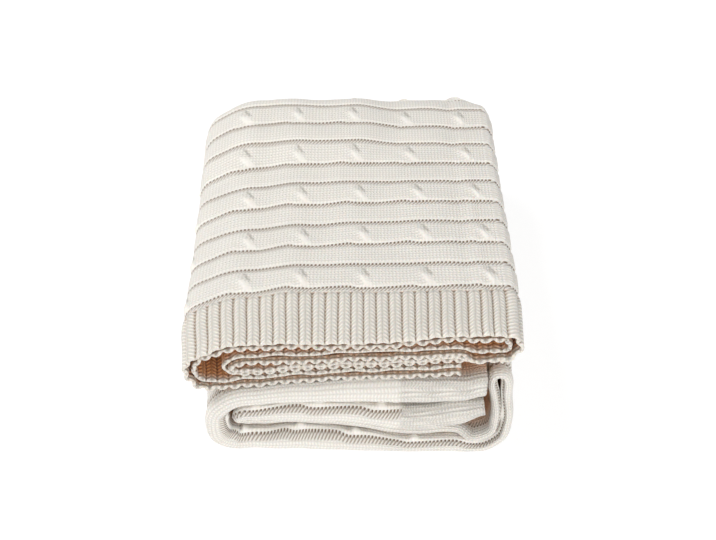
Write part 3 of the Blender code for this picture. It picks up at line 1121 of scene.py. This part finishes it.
class NodeSheet:
    """Short ways to lay out nodes in a tree."""

    step: Pair = (200.0, 220.0)
    row_length: int = 12

    def __init__(self, tree: bpy.types.NodeTree) -> None:
        """Keep the tree that nodes are added to."""
        self.tree = tree

    def node(self, kind: str, inputs: Mapping[int | str, object], **settings: object) -> bpy.types.Node:
        """Add a node, set its properties, and link or set its inputs.

        Args:
            kind: Type of the node.
            inputs: Value or number of each input, by name or place.
            settings: The node's properties.

        Returns:
            The new node.
        """
        row, column = divmod(len(self.tree.nodes), self.row_length)
        node = self.tree.nodes.new(kind)
        node.location = (self.step[0] * column, -self.step[1] * row)
        for key, setting in settings.items():
            setattr(node, key, setting)
        for key, value in inputs.items():
            if isinstance(value, Value):
                self.tree.links.new(value.socket, node.inputs[key])
            else:
                node.inputs[key].default_value = value
        return node

    def value(self, kind: str, output: int | str, inputs: Mapping[int | str, object],
              **settings: object) -> Value:
        """Add a node and take one of its outputs."""
        return Value(self, self.node(kind, inputs, **settings).outputs[output])

    def math(self, operation: str, *terms: Value | float) -> Value:
        """Add a Math node."""
        return self.value("ShaderNodeMath", 0, dict(enumerate(terms)), operation=operation)

    def wave(self, turns: Value) -> Value:
        """Cosine of a number of turns."""
        return self.math("COSINE", turns * (2.0 * math.pi))

    def ramp(self, value: Value, low: float, high: float, start: float = 0.0, end: float = 1.0) -> Value:
        """Map a value smoothly from one range to another.

        Args:
            value: The value.
            low: Where the range starts.
            high: Where the range ends.
            start: What low becomes.
            end: What high becomes.

        Returns:
            The mapped value.
        """
        names = ("Value", "From Min", "From Max", "To Min", "To Max")
        inputs = dict(zip(names, (value, low, high, start, end)))
        return self.value("ShaderNodeMapRange", "Result", inputs, interpolation_type="SMOOTHSTEP")

    def fall(self, value: Value, low: float, high: float, top: float = 1.0) -> Value:
        """Map a value smoothly from a top down to 0."""
        return self.ramp(value, low, high, top, 0.0)

    def blend(self, factor: Value | float, a: Value, b: Value, kind: str = "MIX") -> Value:
        """Mix two colours."""
        return self.value("ShaderNodeMix", 2, {0: factor, 6: a, 7: b}, data_type="RGBA", blend_type=kind)

    def noise(self, place: Value, scale: float, detail: float = 2.0) -> Value:
        """Add a noise."""
        return self.value("ShaderNodeTexNoise", "Fac", {"Vector": place, "Scale": scale, "Detail": detail})

    def attribute(self, name: str) -> Value:
        """Read a value that is kept on the mesh."""
        return self.value("ShaderNodeAttribute", "Fac", {}, attribute_name=name)

    def uv(self, name: str) -> Value:
        """Read a UV layer."""
        return self.value("ShaderNodeUVMap", 0, {}, uv_map=name)

    def split(self, vector: Value) -> list[Value]:
        """Take a vector apart."""
        return [Value(self, out) for out in self.node("ShaderNodeSeparateXYZ", {0: vector}).outputs]

    def group(self, tree: bpy.types.NodeTree, inputs: Mapping[int | str, object]) -> dict[str, Value]:
        """Place a shared group and take its outputs."""
        node = self.node("ShaderNodeGroup", inputs, node_tree=tree)
        return {out.name: Value(self, out) for out in node.outputs}


class GroupSheet(NodeSheet):
    """The sheet of a shared shader node group."""

    def __init__(self, name: str, inputs: Mapping[str, object]) -> None:
        """Start the group; an input without a default is a vector.

        Args:
            name: Name of the group.
            inputs: Default of each input.
        """
        super().__init__(bpy.data.node_groups.new(name, "ShaderNodeTree"))
        kinds = {float: "NodeSocketFloat", tuple: "NodeSocketColor", type(None): "NodeSocketVector"}
        for label, default in inputs.items():
            kind = kinds[type(default)]
            socket = self.tree.interface.new_socket(name=label, in_out="INPUT", socket_type=kind)
            if default is not None:
                socket.default_value = default
        self.start = self.node("NodeGroupInput", {})

    def given(self, name: str) -> Value:
        """One of the group's inputs."""
        return Value(self, self.start.outputs[name])

    def close(self, outputs: Mapping[str, Value]) -> bpy.types.NodeTree:
        """Put out the named values and return the group.

        Args:
            outputs: Value of each output.

        Returns:
            The finished group.
        """
        for label, value in outputs.items():
            kind = "NodeSocketColor" if value.socket.type == "RGBA" else "NodeSocketFloat"
            self.tree.interface.new_socket(name=label, in_out="OUTPUT", socket_type=kind)
        self.node("NodeGroupOutput", outputs)
        return self.tree


@dataclass(frozen=True)
class LadderLook:
    """Where the painted shade and highlight marks of a ladder line and of a crossing fade in or out; a third
    number is their top.
    """

    dot_pitch: float = 3.7 * MM
    stroke_slant: float = 1.1
    zone: Pair = (0.85, 1.2)
    dots: Pair = (0.2, 0.5)
    dot_wave: Pair = (0.0, 0.7)
    stroke_wave: Pair = (-0.2, 0.5)
    cable_end: Pair = (0.86, 1.0)
    slit_start: Pair = (0.42, 0.6)
    # Where the painted highlight lies on the crossing ridges and the rolled edges.
    ridge_sides: Pair = (0.6, 1.6)
    ridge_top: tuple[float, float, float] = (0.3, 0.65, 0.8)
    rolled_edge: tuple[float, float, float] = (1.2 * MM, 2.6 * MM, 0.5)


class KnitGroups:
    """The shared node groups of the throw's yarn and stitches."""

    def __init__(self) -> None:
        """Build each group once."""
        self.stitches = self._stitches()
        self.ladder = self._ladder(KnitPattern(), LadderLook())
        self.yarn = self._yarn()

    @staticmethod
    def _stitches() -> bpy.types.NodeTree:
        """Columns of V-shaped stitches.

        Returns:
            The group.
        """
        g = GroupSheet("Knit_Stitches", {
            "Place": None, "Column Width": 2.6 * MM, "Stitch Length": 2.2 * MM, "Slant": 1.5,
        })
        along, across, _ = g.split(g.given("Place"))
        side = abs(g.math("FRACT", across / g.given("Column Width")) - 0.5)
        leg = 1.0 - g.math("POWER", abs(side - 0.25) * 4.0, 2.0)
        beat = g.wave(side * g.given("Slant") + along / g.given("Stitch Length")) * 0.5 + 0.5
        return g.close({"Height": leg * (beat * 0.75 + 0.25), "Beat": beat})

    @staticmethod
    def _ladder(p: KnitPattern, look: LadderLook) -> bpy.types.NodeTree:
        """Painted shade of the open ladder lines beside the cables: dots with slanted strokes below them, and
        the crossings' slits, with a painted highlight.

        Args:
            p: Sizes of the knitted pattern.
            look: Where the marks fade.

        Returns:
            The group.
        """
        g = GroupSheet("Ladder_Lines", {
            "Place": None, "Ladder Width": p.ladder_width, "Dot Pitch": look.dot_pitch,
        })
        along, across, _ = g.split(g.given("Place"))
        turn = (across - p.start) % p.repeat
        nearest = g.math("MINIMUM", p.repeat - turn, (p.cable_width - turn) % p.repeat)
        below = nearest / g.given("Ladder Width")
        beat = along / g.given("Dot Pitch")
        zone = g.fall(below, *look.zone)
        share = turn / (p.cable_width - p.ladder_width)
        half = p.crossing_pitch * 0.5
        shifted = (along + (half - p.crossing_start)) % p.crossing_pitch
        offset = shifted + (share * p.ridge_lean - (p.ridge_lean * 0.5 + half))
        inside = g.ramp(share, 0.0, p.ridge_start) * g.fall(share, *look.cable_end)
        # Painted shade in the crossings' slits.
        slit = g.fall(abs(offset - p.slit_offset), 0.0, p.slit_width) * g.ramp(share, *look.slit_start)
        # Painted highlight on the crossing ridges and the rolled edges, kept free of furrow shade.
        near = g.fall(abs(offset), *(p.ridge_width * side for side in look.ridge_sides))
        first_edge = g.math("MINIMUM", turn, (turn - p.cable_width) % p.repeat)
        rolled = g.fall(first_edge, *look.rolled_edge)
        # Masks of painted shade for the dots, strokes, channel and slits, and of a painted highlight.
        return g.close({
            "Dots": g.fall(below, *look.dots) * g.ramp(g.wave(beat), *look.dot_wave),
            "Strokes": zone * g.ramp(g.wave(below * look.stroke_slant + beat), *look.stroke_wave),
            "Zone": zone,
            "Slit": slit * inside,
            "Painted_Highlight": g.math("MAXIMUM", rolled, near * g.fall(share, *look.ridge_top)),
        })

    @staticmethod
    def _yarn() -> bpy.types.NodeTree:
        """Colour of the yarn, uneven from place to place, with painted shade in furrows and openings and
        painted warm shade in the gaps.

        Returns:
            The group.
        """
        grey = (0.5, 0.5, 0.5, 1.0)
        g = GroupSheet("Yarn_Colour", {
            "Place": None, "Yarn": grey, "Shade": grey, "Furrow_Shade": grey, "Tint": grey,
            "Shade_Amount": 0.0, "Furrow_Shade_Amount": 0.0, "Depth": 0.0, "Unevenness": 0.1,
        })
        place, unevenness = g.given("Place"), g.given("Unevenness")
        soft = g.noise(place, SOFT_NOISE, 3.0)
        speck = g.noise(place, SPECK_NOISE)
        level = (soft - 0.5) * unevenness + 1.0 + (speck - 0.5) * (unevenness * SPECK_SHARE)
        tone = g.value("ShaderNodeCombineColor", 0, {i: level for i in range(3)})
        base = g.blend(1.0, g.given("Yarn"), tone, "MULTIPLY")
        # Painted shade: furrows darken towards the furrow colour, openings towards the shade colour, and deep
        # folds are multiplied by a warm tint.
        furrow_shaded = g.blend(g.given("Furrow_Shade_Amount"), base, g.given("Furrow_Shade"), "MULTIPLY")
        shaded = g.blend(g.given("Shade_Amount"), furrow_shaded, g.given("Shade"))
        return g.close({
            "Colour": g.blend(g.given("Depth"), shaded, g.given("Tint"), "MULTIPLY"),
            "Fuzz": g.noise(place, FUZZ_NOISE),
            "Roughness": g.ramp(soft, 0.3, 0.7, *YARN_ROUGHNESS),
        })


@dataclass(frozen=True)
class Stitch:
    """Size of a kind of stitch on the cloth."""

    width: float
    length: float
    slant: float


@dataclass(frozen=True)
class CottonKnit:
    """Cream cotton yarn, knitted, with painted shade and highlight: shared look of the panel and the bands.
    """

    name: str
    yarn: Colour = (0.90, 0.865, 0.805, 1.0)
    # Painted shade colour of the ladder lines and of the bands' grooves.
    shade: Colour = (0.20, 0.12, 0.06, 1.0)
    # Painted shade colour of the furrows between stitches and of the crossings' slits.
    furrow_shade: Colour = (0.46, 0.45, 0.43, 1.0)
    # Painted warm shade, multiplied into the yarn deep in the folds and on the wrong sides.
    fold_shade_tint: Colour = (1.0, 0.56, 0.28, 1.0)
    unevenness: float = 0.10
    sheen: float = 0.25
    subsurface: float = 0.12
    subsurface_scale: float = 3.0 * MM
    fuzz_height: float = 0.12 * MM
    fine: Stitch = Stitch(7.4 * MM, 3.3 * MM, 0.6)
    bold: Stitch = Stitch(5.5 * MM, 3.0 * MM, 1.6)
    rib: Stitch = Stitch(1.0, 5.0 * MM, 2.2)
    # Strength of the painted shade in the furrows between stitches and in the crossings' slits.
    fine_furrow_shade: float = 0.44
    bold_furrow_shade: float = 0.28
    rib_furrow_shade: float = 0.65
    slit_shade: float = 0.55
    # Strength of the painted shade of the ladder lines' dots, strokes and channels.
    dot_shade: float = 0.8
    stroke_shade: float = 0.5
    zone_shade: float = 0.12
    # How much painted warm shade the wrong sides get; on the bands it fades in between these distances from
    # the edge.
    wrong_side_shade: float = 0.7
    band_wrong_side_shade: float = 0.9
    edge_light: Pair = (2.0 * MM, 11.0 * MM)
    # Range of the rib crest that counts as groove, painted with shade.
    valley: Pair = (-0.95, 0.1)
    fine_bump: float = 0.8 * MM
    bold_bump: float = 0.6 * MM
    ladder_bump: float = 1.6 * MM
    rib_bump: float = 1.6 * MM

    @staticmethod
    def _stitches(s: NodeSheet, groups: KnitGroups, stitch: Stitch, place: Value) -> dict[str, Value]:
        """Stitches of one kind on the cloth."""
        names = ("Place", "Column Width", "Stitch Length", "Slant")
        return s.group(groups.stitches, dict(zip(names, (place, stitch.width, stitch.length, stitch.slant))))

    def _material(self, s: NodeSheet, groups: KnitGroups, gap: Value, fine: Value, share: Value | float,
                  heights: list[tuple[Value, float]]) -> None:
        """Colour the yarn with its painted shade, and give it its relief and its Principled shader.

        Args:
            s: The material's sheet.
            groups: The shared groups.
            gap: How much painted shade of an opening shows.
            fine: How much painted shade of a furrow between stitches shows.
            share: How much painted warm shade the cloth's wrong side gets, because it always faces a gap.
            heights: Each relief with its real height.
        """
        # Painted warm shade deep in the folds and on the wrong sides.
        wrong = s.attribute("Wrong_Side") * share
        yarn = s.group(groups.yarn, {
            "Place": s.value("ShaderNodeNewGeometry", "Position", {}), "Yarn": self.yarn, "Shade": self.shade,
            "Furrow_Shade": self.furrow_shade, "Tint": self.fold_shade_tint, "Shade_Amount": gap, "Furrow_Shade_Amount": fine,
            "Depth": s.math("MAXIMUM", s.attribute("Fold_Shade_Depth"), wrong), "Unevenness": self.unevenness,
        })
        relief: dict[str, Value] = {}
        for height, distance in heights + [(yarn["Fuzz"], self.fuzz_height)]:
            bump = {"Distance": distance, "Strength": 1.0, "Height": height}
            relief = {"Normal": s.value("ShaderNodeBump", 0, bump | relief)}
        shader = s.value("ShaderNodeBsdfPrincipled", 0, relief | {
            "Metallic": 0.0, "Specular IOR Level": 0.2, "Sheen Weight": self.sheen, "Sheen Roughness": 0.4,
            "Subsurface Weight": self.subsurface, "Subsurface Radius": (1.0, 0.55, 0.3),
            "Subsurface Scale": self.subsurface_scale, "Base Color": yarn["Colour"],
            "Roughness": yarn["Roughness"],
        })
        s.node("ShaderNodeOutputMaterial", {0: shader})

    def panel(self, groups: KnitGroups) -> bpy.types.Material:
        """Material of the cable panel.

        Args:
            groups: The shared groups.

        Returns:
            The material.
        """
        material, s = self._start()
        border, cloth = s.attribute("Border"), s.uv("Cloth")
        fine = self._stitches(s, groups, self.fine, cloth)["Height"]
        bold = self._stitches(s, groups, self.bold, cloth)["Height"]
        open_cloth = (1.0 - border) * (1.0 - s.attribute("Wrong_Side"))
        ladder = s.group(groups.ladder, {"Place": s.uv("Pattern")})
        # The ladder masks: painted shade for dots, strokes, channels and slits, and a painted highlight.
        dots, strokes, zone, slit, edge = (value * open_cloth for value in ladder.values())
        # The painted highlight and the channels are kept free of the fine stitches' furrow shade.
        plain = 1.0 - s.math("MAXIMUM", zone, edge)
        # Painted shade in the furrows between stitches and in the crossings' slits.
        furrow_shade = (1.0 - fine) * self.fine_furrow_shade * plain + (1.0 - bold) * self.bold_furrow_shade * border
        furrow_shade = s.math("MINIMUM", furrow_shade + slit * self.slit_shade, 1.0)
        # Painted shade of the ladder lines' dots, strokes and channels.
        marks = s.math("MAXIMUM", dots * self.dot_shade, strokes * self.stroke_shade)
        gap = s.math("MINIMUM", zone * self.zone_shade + marks, 1.0)
        self._material(s, groups, gap, furrow_shade, self.wrong_side_shade, [
            (fine * plain, self.fine_bump), (bold * border, self.bold_bump),
            ((strokes + dots) * -0.5, self.ladder_bump),
        ])
        return material

    def band(self, groups: KnitGroups) -> bpy.types.Material:
        """Material of the rib bands, whose stitches run across the ribs' own direction, with painted shade in
        the grooves between the ribs.

        Args:
            groups: The shared groups.

        Returns:
            The material.
        """
        material, s = self._start()
        ribs, across, _ = s.split(s.uv("Pattern"))
        turned = s.value("ShaderNodeCombineXYZ", 0, {0: across, 1: ribs + 0.5})
        stitches = self._stitches(s, groups, self.rib, turned)
        # Painted shade: dark dotted grooves between the ribs, and furrows between the stitches on the crests.
        valley = s.fall(s.attribute("Crest"), *self.valley)
        furrow_shade = (1.0 - stitches["Height"]) * (1.0 - valley) * self.rib_furrow_shade
        gap = valley * (stitches["Beat"] * -0.6 + 0.95)
        # The wrong side's painted warm shade fades in away from the band's edge.
        share = s.ramp(across, *self.edge_light, 0.0, self.band_wrong_side_shade)
        self._material(s, groups, gap, furrow_shade, share, [(stitches["Height"], self.rib_bump)])
        return material

    def _start(self) -> tuple[bpy.types.Material, NodeSheet]:
        """New empty node material.

        Returns:
            The material and its sheet.
        """
        material = bpy.data.materials.new(self.name)
        material.use_nodes = True
        material.node_tree.nodes.clear()
        return material, NodeSheet(material.node_tree)


@dataclass(frozen=True)
class Lamp:
    """One soft square light that faces the pack."""

    name: str
    place: Point
    size: float
    power: float
    target: Point = (0.0, 0.0, 0.08)

    def build(self) -> None:
        """Put the light up."""
        data = bpy.data.lights.new(self.name, "AREA")
        data.shape = "SQUARE"
        data.size = self.size
        data.energy = self.power
        lamp = stand(self.name, data)
        lamp.location = self.place
        x, y, z = np.subtract(self.place, self.target)
        lamp.rotation_euler = (math.atan2(math.hypot(x, y), z), 0.0, math.atan2(y, x) + math.pi / 2.0)


@dataclass(frozen=True)
class Studio:
    """Pale floor, soft lights and the photograph's camera."""

    elevation: float = 42.0
    sensor: float = 36.0
    focal: float = 1000.0 / 716.0 * 36.0
    place: Point = (13.6 * MM, -855.0 * MM, 817.9 * MM)
    near: float = 10.0 * MM
    floor_half: float = 12.0
    floor_drop: float = 0.3 * MM
    floor_grey: float = 0.42
    floor_glow: float = 0.7
    world_strength: float = 0.6
    white: Colour = (1.0, 1.0, 1.0, 1.0)
    lamps: tuple[Lamp, ...] = (
        Lamp("Key_Light", (-1.4, 0.1, 2.3), 1.2, 33.0), Lamp("Front_Fill", (0.35, -1.8, 0.45), 1.4, 15.0),
    )

    def floor(self) -> None:
        """Plain pale floor that fades into the backdrop."""
        mesh = bpy.data.meshes.new("Studio_Floor")
        half = self.floor_half
        corners = [(-half, -half, 0), (half, -half, 0), (half, half, 0), (-half, half, 0)]
        mesh.from_pydata(corners, [], [(0, 1, 2, 3)])
        floor = stand("Studio_Floor", mesh)
        floor.location.z = -self.floor_drop
        material = bpy.data.materials.new("Pale_Floor")
        material.use_nodes = True
        shader = material.node_tree.nodes["Principled BSDF"]
        for name, value in {
            "Base Color": (self.floor_grey,) * 3 + (1.0,), "Emission Color": self.white,
            "Emission Strength": self.floor_glow, "Roughness": 0.9, "Specular IOR Level": 0.1,
        }.items():
            shader.inputs[name].default_value = value
        mesh.materials.append(material)

    def camera(self) -> None:
        """Camera at the photograph's place and angle."""
        data = bpy.data.cameras.new("Photo_Camera")
        data.lens = self.focal
        data.sensor_width = self.sensor
        data.clip_start = self.near
        camera = stand("Photo_Camera", data)
        camera.location = self.place
        camera.rotation_euler = (math.radians(90.0 - self.elevation), 0.0, 0.0)
        bpy.context.scene.camera = camera

    def build(self) -> None:
        """Set up the whole studio."""
        self.floor()
        for lamp in self.lamps:
            lamp.build()
        world = bpy.data.worlds.new("Studio_World")
        world.use_nodes = True
        back = world.node_tree.nodes["Background"]
        back.inputs["Color"].default_value = self.white
        back.inputs["Strength"].default_value = self.world_strength
        bpy.context.scene.world = world
        bpy.context.scene.view_settings.view_transform = "Standard"
        self.camera()


def dress(piece: bpy.types.Object, node: str, material: bpy.types.Material) -> None:
    """Give a cloth its finish and say what it is.

    Args:
        piece: The cloth.
        node: The solid that it stands for.
        material: Its finish.
    """
    piece.data.materials.append(material)
    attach(piece, "root")
    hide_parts(node)
    LOG.info("%s: %d faces, in place of %s", piece.name, len(piece.data.polygons), node)


def main() -> None:
    """Build the throw and its studio."""
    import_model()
    strip = FoldedStrip()
    groups = KnitGroups()
    panel = CablePanel(strip)
    dress(panel.build(), panel.node, CottonKnit("Cable_Knit_Cotton").panel(groups))
    # The bands have their own yarn colour and their own painted shade colour for the grooves.
    band_finish = CottonKnit("Rib_Knit_Cotton", yarn=(0.95, 0.905, 0.83, 1.0), shade=(0.27, 0.165, 0.08, 1.0))
    material = band_finish.band(groups)
    for side, name in ((1, "Rib_Band_Outer"), (-1, "Rib_Band_Inner")):
        band = RibBand(strip, side, f"Throw_{name}", name)
        dress(band.build(), band.node, material)
    Studio().build()


if __name__ == "__main__":
    logging.basicConfig(level=logging.INFO)
    main()
